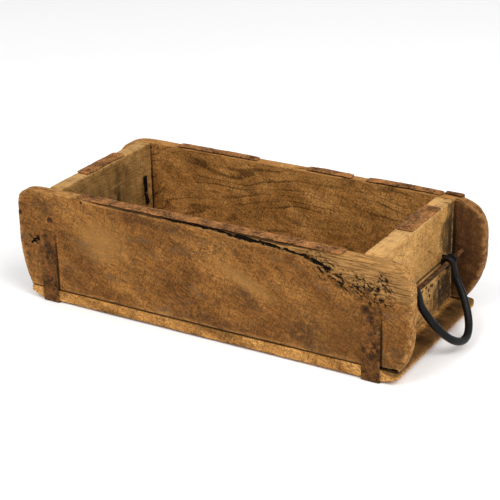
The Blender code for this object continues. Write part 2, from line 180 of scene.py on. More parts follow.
# %% [markdown]
# ## A shorthand for materials
# Each finish is layers of noise, so the same few nodes come back in every material. A small class keeps the
# tree: each method adds a node and returns the socket that the next one takes. All patterns read Object
# coordinates. A texture mapping divides by the size it is given, so sizes are simply millimetres.

# %% The material maker
class Recipe:
    """Builds the nodes of one material."""

    def __init__(self, name, gloss=0.06):
        self.material = bpy.data.materials.new(name)
        self.material.use_nodes = True
        self.tree = self.material.node_tree
        self.shader = self.tree.nodes["Principled BSDF"]
        self.shader.inputs["Specular IOR Level"].default_value = gloss
        self.place = self.tree.nodes.new("ShaderNodeTexCoord").outputs["Object"]

    def add(self, kind, inputs, **settings):
        """One node, with values or sockets for its numbered or named inputs."""
        node = self.tree.nodes.new("ShaderNode" + kind)
        for setting, value in settings.items():
            setattr(node, setting, value)
        for key, value in inputs.items():
            if isinstance(value, bpy.types.NodeSocket):
                self.tree.links.new(value, node.inputs[key])
            else:
                node.inputs[key].default_value = value
        return node

    def maths(self, operation, first, second=0.0):
        """One step of arithmetic on numbers or sockets."""
        return self.add("Math", {0: first, 1: second}, operation=operation).outputs[0]

    def fitted(self, sizes, centre=(0, 0, 0), turn=(0, 0, 0)):
        """Coordinates in which one unit is `sizes` mm, centred on `centre` mm and turned by degrees."""
        inputs = {
            "Vector": self.place,
            "Location": [value * MM for value in centre],
            "Rotation": [radians(value) for value in turn],
            "Scale": [value * MM for value in sizes],
        }
        return self.add("Mapping", inputs, vector_type="TEXTURE").outputs[0]

    def noise(self, sizes, centre=(0, 0, 0), turn=(0, 0, 0), detail=3.0, rough=0.55):
        """Soft noise from 0 to 1 with humps of `sizes` mm."""
        inputs = {"Vector": self.fitted(sizes, centre, turn), "Scale": 1.0}
        return self.add("TexNoise", {**inputs, "Detail": detail, "Roughness": rough}).outputs["Fac"]

    def between(self, value, start, end, low=0.0, high=1.0):
        """low where value is at start, high where it is at end, eased between them."""
        inputs = {"Value": value, "From Min": start, "From Max": end, "To Min": low, "To Max": high}
        return self.add("MapRange", inputs, interpolation_type="SMOOTHSTEP").outputs[0]

    def mask(self, *values):
        """The product of several masks."""
        result = values[0]
        for value in values[1:]:
            result = self.maths("MULTIPLY", result, value)
        return result

    def blend(self, amount, first, second, mode="MIX"):
        """The second colour over the first."""
        inputs = {0: amount}
        node = self.add("Mix", inputs, data_type="RGBA", blend_type=mode)
        for key, value in ((6, first), (7, second)):
            if isinstance(value, bpy.types.NodeSocket):
                self.tree.links.new(value, node.inputs[key])
            else:
                node.inputs[key].default_value = (*value, 1.0)
        return node.outputs[2]

    def ramp(self, value, *stops):
        """Colours along a value."""
        node = self.add("ValToRGB", {0: value})
        elements = node.color_ramp.elements
        while len(elements) < len(stops):
            elements.new(0.5)
        for element, (position, colour) in zip(elements, stops):
            element.position = position
            element.color = (*colour, 1.0)
        return node.outputs[0]

    def dim(self, colour, value, start, end, low, high):
        """Multiplies a colour by a factor that goes from low to high as value goes from start to end."""
        factor = self.between(value, start, end, low, high)
        return self.add("VectorMath", {0: colour, "Scale": factor}, operation="SCALE").outputs[0]

    def mark(self, name):
        """A number that the mesh keeps on its points."""
        return self.add("Attribute", {}, attribute_name=name).outputs["Fac"]

    def away(self, radii, centre, turn=(0, 0, 0)):
        """Distance from a centre, counted in the radii along each axis."""
        fitted = self.fitted(radii, centre, turn)
        return self.add("VectorMath", {0: fitted}, operation="LENGTH").outputs["Value"]

    def spot(self, centre, radii, turn=(0, 0, 0), soft=0.3):
        """1 within an ellipsoid and 0 outside it."""
        return self.between(self.away(radii, centre, turn), 1.0, soft)

    def holes(self, size, radius):
        """1 within round holes about `size` mm apart, with a radius given as a part of that."""
        inputs = {"Vector": self.fitted((size, size, size)), "Scale": 1.0}
        away = self.add("TexVoronoi", inputs).outputs["Distance"]
        return self.between(away, radius, radius * 0.6)

    def close(self, colour, roughness, height, depth, metal=None):
        """Joins the layers to the shader: depth is the bump's height in mm."""
        self.tree.links.new(colour, self.shader.inputs["Base Color"])
        self.tree.links.new(roughness, self.shader.inputs["Roughness"])
        if metal is not None:
            self.tree.links.new(metal, self.shader.inputs["Metallic"])
        bump = self.add("Bump", {"Height": height, "Strength": 1.0, "Distance": depth * MM})
        self.tree.links.new(bump.outputs[0], self.shader.inputs["Normal"])
        return self.material


# %% [markdown]
# ## Old wood
# The boards are a warm brown hardwood. Growth rings are cylinders round the tree's pith, so a board shows
# them as long arches: here their distance from a pith line is disturbed by slow noise and drawn as thin dark
# lines. Fine fibres run along the board, a faint figure leans across it, and years of handling leave dark
# grime in hollows and pale rubbed wood at the edges. One function makes them all from a few colours.

# %% The wood
def strokes(wood, length, width, lean, along, start, end):
    """Short hair-like strokes in one direction: 1 on a stroke, 0 elsewhere."""
    hairs = wood.noise((length, width, width), (3, 5, 7), (0, lean, along), detail=1.0)
    return wood.between(hairs, start, end)


USUAL = (("fibre", 0.16), ("grime", 0.6), ("speckle", 0.48))


def old_wood(name, light, middle, dark, pith, along="x", ring=4.0, arch=30.0, late=0.75, **amounts):
    """Colour, roughness and height layers of a board, left open for its own marks.

    late is the darkness of the ring lines. Of the amounts, fibre and speckle are contrasts, along the
    grain and in fine dots, and grime is the strength of the dirt in the hollows.
    """
    wood = Recipe(name)
    fibre, grime, speckle = (amounts.get(kind, usual) for kind, usual in USUAL)
    turn = (0, 0, 90) if along == "y" else (0, 0, 0)
    slanted = (0, 28, turn[2])
    clouds = wood.noise((56, 24, 24), pith, slanted, detail=5.0, rough=0.6)
    colour = wood.ramp(clouds, (0.36, dark), (0.5, middle), (0.62, light))
    distance = wood.away((arch, 1, 1), pith, turn)
    drift = wood.noise((130, 34, 34), pith, turn, detail=2.0)
    rings = wood.maths("ADD", distance, wood.maths("MULTIPLY", drift, 46.0))
    dark_line = wood.between(wood.maths("SINE", wood.maths("MULTIPLY", rings, 2 * pi / ring)), 0.45, 1.0)
    patchy = wood.between(wood.noise((60, 25, 25), pith, turn), 0.42, 0.58)
    colour = wood.dim(colour, wood.mask(dark_line, patchy), 0.0, 1.0, 1.0, late)
    fibres = wood.noise((22, 0.9, 0.9), pith, turn, detail=3.0, rough=0.7)
    colour = wood.dim(colour, fibres, 0.3, 0.7, 1 - fibre, 1 + fibre)
    mottle = wood.noise((1.7, 1.4, 1.4), pith, slanted, detail=4.0, rough=0.75)
    colour = wood.dim(colour, mottle, 0.33, 0.67, 1 - speckle, 1 + speckle)
    blotches = wood.noise((15, 7, 7), (7, 3, 1), slanted, detail=4.0, rough=0.65)
    colour = wood.dim(colour, blotches, 0.35, 0.65, 0.82, 1.16)
    for tint, leans in ((light, (38, -62)), ((0.05, 0.025, 0.01), (24, -75))):
        for lean in leans:
            hair = strokes(wood, 8, 0.8, lean, turn[2], 0.58, 0.7)
            colour = wood.blend(wood.mask(hair, 0.2 + 0.75 * speckle), colour, tint)
    dirt = wood.between(wood.noise((40, 20, 20), (31, 7, 5), turn, detail=6.0, rough=0.65), 0.54, 0.68)
    in_hollows = wood.mask(dirt, wood.between(mottle, 0.62, 0.36), grime)
    colour = wood.blend(in_hollows, colour, (0.045, 0.024, 0.011))
    roughness = wood.between(fibres, 0.3, 0.7, 0.62, 0.82)
    height = wood.maths("ADD", wood.maths("MULTIPLY", fibres, 0.6), wood.maths("MULTIPLY", mottle, 0.8))
    height = wood.maths("SUBTRACT", height, wood.maths("MULTIPLY", dark_line, 0.25))
    return wood, colour, roughness, height


def rub_edges(wood, colour, pale, amount=0.7):
    """Pale wood where the rim of a board is rubbed, broken up by noise."""
    patches = wood.between(wood.noise((9, 4, 4), detail=4.0, rough=0.65), 0.4, 0.58)
    return wood.blend(wood.mask(wood.mark("rim"), patches, amount), colour, pale)


def smudge(wood, colour, spots, tint, amount):
    """Soft stains at chosen places, ragged by noise."""
    ragged = wood.between(wood.noise((9, 5, 5), detail=6.0, rough=0.7), 0.36, 0.58)
    for centre, radii, turn in spots:
        stain = wood.mask(wood.spot(centre, radii, turn, soft=0.1), ragged, amount)
        colour = wood.blend(stain, colour, tint)
    return colour


# %% [markdown]
# ## The shape of a board
# A board could be a box with a bevel, but its edges would wear evenly, and a displaced box has few points
# near the rim, where old wood is most worn. Here a board is a shell of rows: each row keeps to one distance
# from the rim, from the middle line of one face, out over the rounded edge and back to the middle line of the
# other. The rows crowd together near the rim, and each point knows its own edge radius, so chips and rubbed
# corners come from a noisy radius.

# %% The shell of a board
def end_outline(reach, start, low, high, widest, inset, power, squareness, spacing):
    """One end of an outline, foot to top, evenly spaced.

    The foot draws in by `inset` as a power of its depth. The top is a quarter of a superellipse,
    (x / a)^n + (z / b)^n = 1, with n the squareness.
    """
    depth = np.linspace(1, 0, 300)
    foot = np.stack([reach - inset * depth**power, widest - depth * (widest - low)], axis=1)
    turn = np.linspace(0, pi / 2, 300)[1:]
    across = start + (reach - start) * np.cos(turn) ** (2 / squareness)
    up = widest + (high - widest) * np.sin(turn) ** (2 / squareness)
    path = np.concatenate([[(start, low)], foot, np.stack([across, up], axis=1), [(start, high)]])
    length = np.concatenate([[0], np.cumsum(np.linalg.norm(np.diff(path, axis=0), axis=1))])
    even = np.linspace(0, length[-1], int(length[-1] / spacing))[1:-1]
    return np.stack([np.interp(even, length, path[:, i]) for i in (0, 1)], axis=1)


def outline_of(left, right, low, high, spacing):
    """A board's outline and, for each of its points, the point of the middle line that it faces."""
    middle = (low + high) / 2
    right_end = end_outline(low=low, high=high, spacing=spacing * 0.8, **right)
    left_end = end_outline(low=low, high=high, spacing=spacing * 0.8, **left)[::-1] * (-1, 1)
    run = np.arange(-left["start"], right["start"], spacing)
    run = np.linspace(-left["start"], right["start"], len(run) + 1)
    top = np.stack([run[::-1], np.full_like(run, high)], axis=1)
    bottom = np.stack([run, np.full_like(run, low)], axis=1)
    outline = np.concatenate([right_end, top, left_end, bottom])
    along = np.clip(outline[:, 0], -left["start"], right["start"])
    spine = np.stack([along, np.full(len(outline), middle)], axis=1)
    return outline, spine


def shell(outline, spine, half, rounding, rows):
    """A board's points, outward directions and distances from its rim, in (length, height, thickness).

    On a face the thickness is +-half. Round the edge the distance from the rim is r (1 - cos t) and the
    thickness is half - r (1 - sin t).
    """
    inward = spine - outline
    reach = np.linalg.norm(inward, axis=1)
    inward = inward / reach[:, None]
    steps = np.linspace(1, 0, rows, endpoint=False)[:, None] ** 1.25
    turn = np.linspace(pi / 2, 0, 8)[:, None]
    distance = np.concatenate([rounding + steps * (reach - rounding), rounding * (1 - np.cos(turn))])
    height = np.concatenate([np.full((rows, len(reach)), half), half - rounding * (1 - np.sin(turn))])
    lean = np.concatenate([np.full(rows, pi / 2), turn[:, 0]])
    flat = np.linspace(1, 0, 4, endpoint=False)[1:, None] * (half - rounding)
    distance = np.concatenate([distance, np.zeros_like(flat)])
    height = np.concatenate([height, flat])
    lean = np.concatenate([lean, np.zeros(len(flat))])
    middle = np.zeros((1, len(reach)))
    distance = np.concatenate([distance, middle, distance[::-1]])
    height = np.concatenate([height, middle, -height[::-1]])
    lean = np.concatenate([lean, [0], -lean[::-1]])
    plane = outline + distance[..., None] * inward
    points = np.concatenate([plane, height[..., None]], axis=-1)
    sideways = -np.cos(lean)[:, None, None] * inward
    upward = np.broadcast_to(np.sin(lean)[:, None, None], (*sideways.shape[:2], 1))
    return points, np.concatenate([sideways, upward], axis=-1), distance


def worn_relief(points, seed, fibre=0.18, hollow=0.4):
    """How far old wood has worn back, in metres: shallow hollows, dents and lines along the fibres."""
    hollows = ripple(points, (46, 30, 30), seed) ** 2 * hollow
    fibres = (1 - np.abs(ripple(points, (70, 2.2, 2.2), seed + 5, 2))) ** 6 * fibre
    dents = ease(ripple(points, (9, 6, 6), seed + 9, 2), 0.42, 0.8) * 0.5
    return (hollows + fibres + dents) * MM


def edge_radius(outline, seed, usual, chips):
    """The radius of the rim at each point of an outline, in metres: usual, and up to `chips` mm more."""
    flat = np.concatenate([outline, np.zeros((len(outline), 1))], axis=1)
    wear = 0.5 + 0.5 * ripple(flat, (24, 24, 24), seed)
    chip = ease(ripple(flat, (7, 7, 7), seed + 3, 2), 0.3, 0.8)
    return (usual * (0.6 + 0.8 * wear) + chips * chip * wear) * MM


def rim_mark(distance, width=5.0):
    """1 at the rim of a board, 0 from `width` mm inwards."""
    return 1 - ease(distance, 0.6 * MM, width * MM)


# %% [markdown]
# ## The side boards
# Each side board is one plank about 10 mm thick. Its top corners are rounded and its ends bulge and draw in
# towards the foot, so that they make room for the hand at each end. The front one has a long split under its
# top edge where worms have eaten along the pale sapwood. A split could be drawn only in the material, but it
# is deep enough to catch shadow, so the shell is pushed in along its line too.

# %% The outlines of the side boards
side_low, side_high = span("front_side_board")


def side_end(reach, inset, power, squareness):
    """The shape of one end of a side board."""
    sizes = {"reach": reach * MM, "start": 130 * MM, "widest": 58 * MM, "inset": inset * MM}
    return {**sizes, "power": power, "squareness": squareness}


FRONT_ENDS = (side_end(176.3, 9.5, 2.2, 6.0), side_end(178.6, 10.4, 3.8, 5.0))
BACK_ENDS = (side_end(175.0, 9.5, 2.2, 3.1), side_end(176.9, 17.0, 2.2, 3.5))
print("the side boards are", round((side_high[2] - side_low[2]) / MM, 1), "mm high")

# %% The split and the sapwood of the front board
SPLIT = np.array([(-36, 96.0, 0.4), (-12, 95.4, 2.0), (14, 94.9, 2.4), (36, 93.5, 3.6), (60, 92.2, 3.0),
                  (79, 90.8, 2.6), (92, 88.8, 3.4), (104, 85.4, 3.6), (114, 80, 2.4), (124, 76, 0.6)]) * MM
SAPWOOD_LINE = np.array([(0, 97), (14, 96), (60, 93), (92, 89), (112, 80), (124, 75), (150, 69), (180, 66)])
SAPWOOD_LINE = SAPWOOD_LINE * MM
ROD_HOLE = np.array([-157.8, 54.5]) * MM
WORM_NESTS = np.array([(154, 83), (147, 73)]) * MM
CHECKS = np.array([[(-166, 55.5), (-159, 49.5)], [(-165.5, 48.5), (-158.5, 55)], [(150, 12), (168, 13)]]) * MM


def near_segment(x, z, start, end):
    """Distance from each point to a straight segment."""
    along = end - start
    t = np.clip(((x - start[0]) * along[0] + (z - start[1]) * along[1]) / (along @ along), 0, 1)
    return np.hypot(x - start[0] - t * along[0], z - start[1] - t * along[1])


def front_marks(points):
    """How split, how pale and how wormy the front board is at each point, from 0 to 1."""
    x, z, out = np.moveaxis(points, -1, 0)
    outer = ease(out, 0, 2 * MM)
    jagged = ripple(points, (5, 5, 5), 71, 4) * 1.5 * MM
    width = np.interp(x, SPLIT[:, 0], SPLIT[:, 2], left=0, right=0)
    width = width * (0.65 + 0.9 * ripple(points, (6, 3, 3), 72))
    off_line = np.abs(z - np.interp(x, SPLIT[:, 0], SPLIT[:, 1]) - jagged)
    split = 1 - ease(off_line, width * 0.3, width * 0.8 + 1.1 * MM)
    split = split * ease(width, 0.1 * MM, 0.6 * MM)
    for start, end in CHECKS:
        split = np.maximum(split, 1 - ease(near_segment(x, z, start, end) + 0.3 * jagged, 0.7 * MM, 1.6 * MM))
    hole = 1 - ease(np.hypot(x - ROD_HOLE[0], z - ROD_HOLE[1]), 2.3 * MM, 3.2 * MM)
    above = z - np.interp(x, SAPWOOD_LINE[:, 0], SAPWOOD_LINE[:, 1])
    sap = ease(above + ripple(points, (14, 6, 6), 73) * 5 * MM, -2 * MM, 4 * MM) * ease(x, 8 * MM, 26 * MM)
    patch = ease(x, 84 * MM, 100 * MM) * (1 - ease(x, 160 * MM, 168 * MM))
    from_band = np.abs(above - 3 * MM + ripple(points, (9, 9, 9), 74) * 6 * MM)
    wormy = patch * (1 - ease(from_band, 6 * MM, 12 * MM))
    for place in WORM_NESTS:
        wormy = np.maximum(wormy, 1 - ease(np.hypot(x - place[0], z - place[1]), 3 * MM, 8 * MM))
    return outer * split, outer * hole, sap, outer * wormy


# %% Both side boards
def side_board(name, facing, ends, seed, marks_of=None):
    """One side board. facing is -1 for the front and 1 for the back."""
    outline, spine = outline_of(*ends, side_low[2], side_high[2], 0.95 * MM)
    usual = np.where(outline[:, 1] > side_high[2] - 8 * MM, 0.7, 1.5)
    points, outward, distance = shell(outline, spine, 5 * MM, edge_radius(outline, seed, usual, 1.2), 36)
    depth = worn_relief(points, seed)
    # The foot mark carries painted shade in the joint where a plank stands on the bottom board.
    foot = 1 - ease(points[..., 1], side_low[2] + 0.7 * MM, side_low[2] + 2.0 * MM)
    marks = {"rim": rim_mark(distance) * (1 - foot), "foot": foot}
    if marks_of:
        split, hole, sap, wormy = marks_of(points)
        depth = depth + split * 2.4 * MM + hole * 3.5 * MM
        depth = depth + wormy * ease(ripple(points, (2.4, 2.4, 2.4), seed + 20, 1), 0.1, 0.7) * 1.4 * MM
        marks.update(split=np.maximum(split, hole), sap=sap, wormy=wormy)
    points = points - depth[..., None] * outward
    middle = (span(name)[0][1] + span(name)[1][1]) / 2
    grid = np.stack([points[..., 0], middle + facing * points[..., 2], points[..., 1]], axis=-1)
    return surface(name.replace("side_board", "plank"), grid, poles=False, marks=marks)


front_plank = side_board("front_side_board", -1, FRONT_ENDS, 11, front_marks)
back_plank = side_board("back_side_board", 1, BACK_ENDS, 31)
print("planks:", len(front_plank.data.polygons), "and", len(back_plank.data.polygons), "faces")

# %% Their finishes
BROWN = {"light": (0.29, 0.127, 0.031), "middle": (0.215, 0.088, 0.02), "dark": (0.14, 0.053, 0.012)}


def iron_shadows(wood, colour, x_places, ends):
    """Painted shadow that iron casts on wood: a dark line beside each strap and under the rim strip."""
    shadow_tone = (0.012, 0.006, 0.003)
    for x in x_places:
        beside = wood.spot((x, -75, 24), (1.3, 9, 42), soft=0.5)
        colour = wood.blend(wood.mask(beside, 0.85), colour, shadow_tone)
    line = wood.spot((sum(ends) / 2, -75, 96.6), ((ends[1] - ends[0]) / 2, 9, 1.9), soft=0.75)
    return wood.blend(wood.mask(line, 0.85), colour, shadow_tone)


def eaten_wood(wood):
    """Where the wood is gone: ragged slits along the split and short crooked worm channels below it."""
    slits = wood.noise((5, 1.1, 1.1), (2, 2, 2), (0, 8, 0), detail=4.0, rough=0.7)
    torn = wood.maths("ADD", wood.mark("split"), wood.maths("MULTIPLY", slits, 2.2))
    torn = wood.mask(wood.between(torn, 1.72, 1.86), wood.between(wood.mark("split"), 0.02, 0.12))
    clusters = wood.between(wood.noise((10, 6, 6), (8, 1, 3), detail=3.0, rough=0.6), 0.38, 0.46)
    channels = wood.noise((5.5, 2.4, 2.4), (1, 2, 3), (0, 38, 0), detail=3.0, rough=0.7)
    channels = wood.between(channels, 0.505, 0.545)
    return wood.maths("MAXIMUM", torn, wood.mask(wood.mark("wormy"), clusters, channels))


def front_finish():
    """The front plank: golden brown, smudged, with pale wormy sapwood at the upper right."""
    shades = {"pith": (70, -40, 10), "arch": 9.0, "late": 0.84}
    wood, colour, roughness, height = old_wood("front_plank_wood", **shades, **BROWN)
    for centre, radii, lean in (((38, -75, 59), (42, 20, 10), 24), ((-95, -75, 64), (36, 20, 26), 0)):
        glow = wood.spot(centre, radii, (0, lean, 0), soft=0.1)
        colour = wood.blend(wood.mask(glow, 0.6), colour, (0.33, 0.165, 0.047))
    dusk = wood.spot((128, -75, 26), (74, 20, 56), soft=0.2)
    colour = wood.blend(wood.mask(dusk, 0.4), colour, (0.085, 0.036, 0.01))
    smudges = [
        ((-126, -75, 30), (13, 20, 14), (0, 0, 0)),
        ((-168, -75, 40), (8, 20, 30), (0, 0, 0)),
        ((-150, -75, 86), (28, 20, 13), (0, 0, 0)),
        ((40, -75, 44), (26, 20, 10), (0, 30, 0)),
        ((88, -75, 29), (26, 20, 13), (0, -30, 0)),
        ((96, -75, 20), (22, 20, 11), (0, 20, 0)),
        ((168, -75, 24), (9, 20, 18), (0, 0, 0)),
        ((-30, -75, 88), (70, 20, 7), (0, 3, 0)),
        ((20, -75, 16), (60, 20, 9), (0, 2, 0)),
    ]
    colour = smudge(wood, colour, smudges, (0.05, 0.024, 0.011), 0.65)
    grey = wood.between(wood.noise((22, 9, 9), (3, 1, 4), detail=6.0, rough=0.65), 0.54, 0.68, 0.0, 0.4)
    colour = wood.blend(grey, colour, (0.13, 0.078, 0.038))
    streaks = wood.noise((18, 1.1, 1.1), (5, 5, 5), detail=4.0, rough=0.8)
    pale = wood.ramp(streaks, (0.38, (0.07, 0.032, 0.009)), (0.6, (0.44, 0.23, 0.074)))
    colour = wood.blend(wood.mask(wood.mark("sap"), 0.88), colour, pale)
    slivers = wood.mask(wood.between(wood.mark("split"), 0.02, 0.3), wood.between(streaks, 0.42, 0.54))
    colour = wood.blend(wood.mask(slivers, 0.8), colour, (0.36, 0.19, 0.065))
    colour = rub_edges(wood, colour, wood.dim((0.42, 0.21, 0.064), streaks, 0.36, 0.62, 0.5, 1.3), 0.8)
    # Painted shadow beside the straps and under the rim strip.
    colour = iron_shadows(wood, colour, (-138.6, 155.0), (-118, 124))
    # Painted shade in the joint at the plank's foot.
    colour = wood.blend(wood.mask(wood.mark("foot"), 0.9), colour, (0.012, 0.006, 0.003))
    knots = (((-174, 75), (3, 3.6)), ((-111, 94.5), (2.2, 1.8)), ((158, 84), (2.6, 2.2)))
    for (x, z), (wide, high) in knots:
        knot = wood.spot((x, -75, z), (wide, 9, high))
        colour = wood.blend(wood.mask(knot, 0.9), colour, (0.02, 0.01, 0.005))
    eaten = eaten_wood(wood)
    colour = wood.blend(eaten, colour, (0.006, 0.004, 0.002))
    height = wood.maths("SUBTRACT", height, wood.maths("MULTIPLY", eaten, 3.0))
    return wood.close(colour, roughness, height, 0.35)


def back_finish():
    """The back plank: browner and more olive, with long arched grain inside."""
    shades = {"light": (0.45, 0.215, 0.06), "middle": (0.33, 0.15, 0.038), "dark": (0.22, 0.092, 0.02)}
    place = {"pith": (46, 86, 14), "ring": 7.5, "arch": 3.2, "late": 0.42, "grime": 0.25}
    wood, colour, roughness, height = old_wood("back_plank_wood", **place, **shades)
    stained = (0.05, 0.022, 0.009)
    smudges = [((-85, 66, 87), (26, 20, 7), (0, 0, 0)), ((58, 66, 94), (9, 20, 5), (0, 0, 0))]
    colour = smudge(wood, colour, smudges, stained, 0.5)
    ear = wood.spot((164, 66, 54), (18, 9, 80), soft=0.88)
    depth = wood.between(wood.noise((5, 9, 22), detail=4.0, rough=0.7), 0.3, 0.7, 0.7, 0.95)
    colour = wood.blend(wood.mask(ear, depth), colour, (0.048, 0.019, 0.0085))
    colour = rub_edges(wood, colour, (0.36, 0.17, 0.052), 0.6)
    # Painted shade: dark lines in the inside corners where the end boards meet the plank.
    for x, wide in ((-137, 1.6), (151, 2.2)):
        corner = wood.spot((x, 65, 54), (wide, 9, 60))
        colour = wood.blend(wood.mask(corner, 0.85), colour, (0.012, 0.006, 0.003))
    # Painted shade in the joint at the plank's foot.
    colour = wood.blend(wood.mask(wood.mark("foot"), 0.85), colour, (0.012, 0.006, 0.003))
    return wood.close(colour, roughness, height, 0.35)


finish(front_plank, front_finish(), ["front_side_board"])
finish(back_plank, back_finish(), ["back_side_board"])

# %% [markdown]
# ## The end boards
# Two short, thicker boards close the box between the planks. Outside they were sheltered by the hand hold and
# stay light tan. Inside they have gone grey-olive with use. Their grain runs across the box, so the same
# shell is turned a quarter turn, and the finish is told to run along Y.

# %% The end boards
def end_board(end, side, seed):
    """One end board, worn on top where hands and tools have passed."""
    low, high = span(end + "_end_board")
    shape = {"reach": high[1], "start": high[1] - 40 * MM, "widest": 50 * MM}
    shape.update(inset=0, power=1, squareness=40)
    outline, spine = outline_of(shape, shape, low[2], high[2], 1.1 * MM)
    rounding = edge_radius(outline, seed, 0.9, 1.3)
    points, outward, distance = shell(outline, spine, (high[0] - low[0]) / 2, rounding, 38)
    depth = worn_relief(points, seed, fibre=0.2, hollow=0.3)
    points = points - depth[..., None] * outward
    middle = (low[0] + high[0]) / 2
    grid = np.stack([middle + side * points[..., 2], points[..., 0], points[..., 1]], axis=-1)
    return surface(end + "_end_plank", grid, poles=False, marks={"rim": rim_mark(distance, 4.0)})


def end_finish(name, side, **shades):
    """Tan outside, grey-olive inside, bright and streaky where the top is rubbed bare."""
    pith = (side * 120, 20, -15)
    amounts = {"along": "y", "grime": 0.2, "late": 0.86, "fibre": 0.1, "speckle": 0.26}
    wood, colour, roughness, height = old_wood(name, pith=pith, **amounts, **shades)
    face = min(abs(corner[0]) for corner in span(name.replace("wood", "board"))) / MM
    inner = wood.spot((side * (face - 60), 0, 40), (61, 400, 400), soft=0.985)
    cloudy = wood.noise((9, 9, 34), detail=6.0, rough=0.65)
    olive = wood.ramp(cloudy, (0.36, (0.07, 0.04, 0.013)), (0.62, (0.25, 0.142, 0.047)))
    colour = wood.blend(wood.mask(inner, 0.85), colour, olive)
    bare = wood.spot((side * 143, 0, 127), (400, 400, 30.5), soft=0.97)
    lines = wood.noise((1.4, 26, 1.4), detail=4.0, rough=0.75)
    streaky = wood.ramp(lines, (0.38, (0.16, 0.075, 0.025)), (0.6, (0.5, 0.3, 0.125)))
    colour = wood.blend(wood.mask(bare, 0.9), colour, streaky)
    return wood, colour, roughness, height


print("end boards next to x =", round(float(span("right_end_board")[1][0]), 4))

# %% Their finishes
def right_end_finish():
    """The right end board, with a dark stain at its far edge and a rough lower half."""
    shades = {"light": (0.53, 0.29, 0.094), "middle": (0.43, 0.225, 0.067), "dark": (0.33, 0.163, 0.045)}
    wood, colour, roughness, height = end_finish("right_end_wood", 1, **shades)
    streaked = wood.between(wood.noise((9, 3.5, 16), (2, 6, 2), detail=5.0, rough=0.7), 0.3, 0.52)
    for y, z, wide, high in ((63, 88, 13, 34), (58, 71, 22, 19), (50, 20, 32, 19), (64, 40, 14, 40)):
        band = wood.spot((150, y, z), (9, wide, high), soft=0.7)
        colour = wood.blend(wood.mask(band, streaked, 0.85), colour, (0.04, 0.022, 0.0105))
    stains = [
        ((150, 46, 24), (8, 34, 15), (-20, 0, 0)),
        ((150, 50, 30), (8, 20, 22), (-20, 0, 0)),
        ((150, 60, 40), (8, 12, 40), (0, 0, 0)),
        ((150, -20, 14), (8, 70, 9), (0, 0, 0)),
    ]
    colour = smudge(wood, colour, stains, (0.035, 0.02, 0.01), 0.9)
    # A dark joint line under the rod: partly the joint's own colour and partly painted shade in its groove.
    seam_shade = wood.spot((150, 10, 51.5), (6, 66, 1.7), soft=0.6)
    colour = wood.blend(wood.mask(seam_shade, 0.8), colour, (0.03, 0.014, 0.006))
    colour = rub_edges(wood, colour, (0.6, 0.34, 0.12), 0.6)
    low_patch = wood.spot((150, 25, 34), (8, 42, 12), soft=0.5)
    pits = wood.mask(wood.holes(6.5, 0.3), low_patch)
    upper = wood.mask(wood.holes(9.0, 0.13), wood.spot((150, 31, 68), (8, 9, 9), soft=0.6))
    pits = wood.maths("MAXIMUM", pits, upper)
    colour = wood.blend(pits, colour, (0.03, 0.018, 0.01))
    height = wood.maths("SUBTRACT", height, wood.maths("MULTIPLY", pits, 2.0))
    return wood.close(colour, roughness, height, 0.4)


def left_end_finish():
    """The left end board, dark and streaked inside."""
    shades = {"light": (0.4, 0.22, 0.07), "middle": (0.3, 0.16, 0.048), "dark": (0.18, 0.09, 0.026)}
    wood, colour, roughness, height = end_finish("left_end_wood", -1, **shades)
    stains = [((-138, 53, 56), (8, 9, 24), (0, 0, 0)), ((-138, 10, 60), (8, 16, 34), (0, 0, 0))]
    colour = smudge(wood, colour, stains, (0.02, 0.012, 0.006), 0.75)
    colour = rub_edges(wood, colour, (0.5, 0.28, 0.095), 0.6)
    return wood.close(colour, roughness, height, 0.4)


end_finishes = {"left": left_end_finish, "right": right_end_finish}
for end, side in sides.items():
    board = end_board(end, side, 50 + 10 * side)
    finish(board, end_finishes[end](), [end + "_end_board"])
    print(board.name, len(board.data.polygons), "faces")

# %% [markdown]
# ## The bottom board
# It lies flat under everything and shows only as a bright edge in front and a dark ledge at each end. The
# shell lies down here: its outline is seen from above. The left end was sawn to a slope underneath, which is
# one more push on the points of the lower face.

# %% The bottom board
def bottom_board():
    """The bottom board: its lower face rises near each end, more at the left."""
    low, high = span("bottom_board")
    half_width = high[1]
    square = {"widest": 0.0, "inset": 0, "power": 1, "squareness": 24.0}
    ends = [{"reach": reach, "start": reach - 60 * MM, **square} for reach in (-low[0], high[0])]
    outline, spine = outline_of(*ends, -half_width, half_width, 1.4 * MM)
    rounding = edge_radius(outline, 91, 1.1, 1.4)
    points, outward, distance = shell(outline, spine, (high[2] - low[2]) / 2, rounding, 44)
    points = points - worn_relief(points, 90)[..., None] * outward
    x, y, up = np.moveaxis(points, -1, 0)
    slope = (1 - ease(x, low[0] - 8 * MM, low[0] + 15 * MM)) * 6 * MM
    slope = slope + ease(x, high[0] - 17 * MM, high[0] + 9 * MM) * 6 * MM
    up = up + slope * (1 - ease(up, -5 * MM, 3.5 * MM))
    grid = np.stack([x, y, (low[2] + high[2]) / 2 + up], axis=-1)
    return surface("bottom_plank", grid, poles=False, marks={"rim": rim_mark(distance, 3.0)})


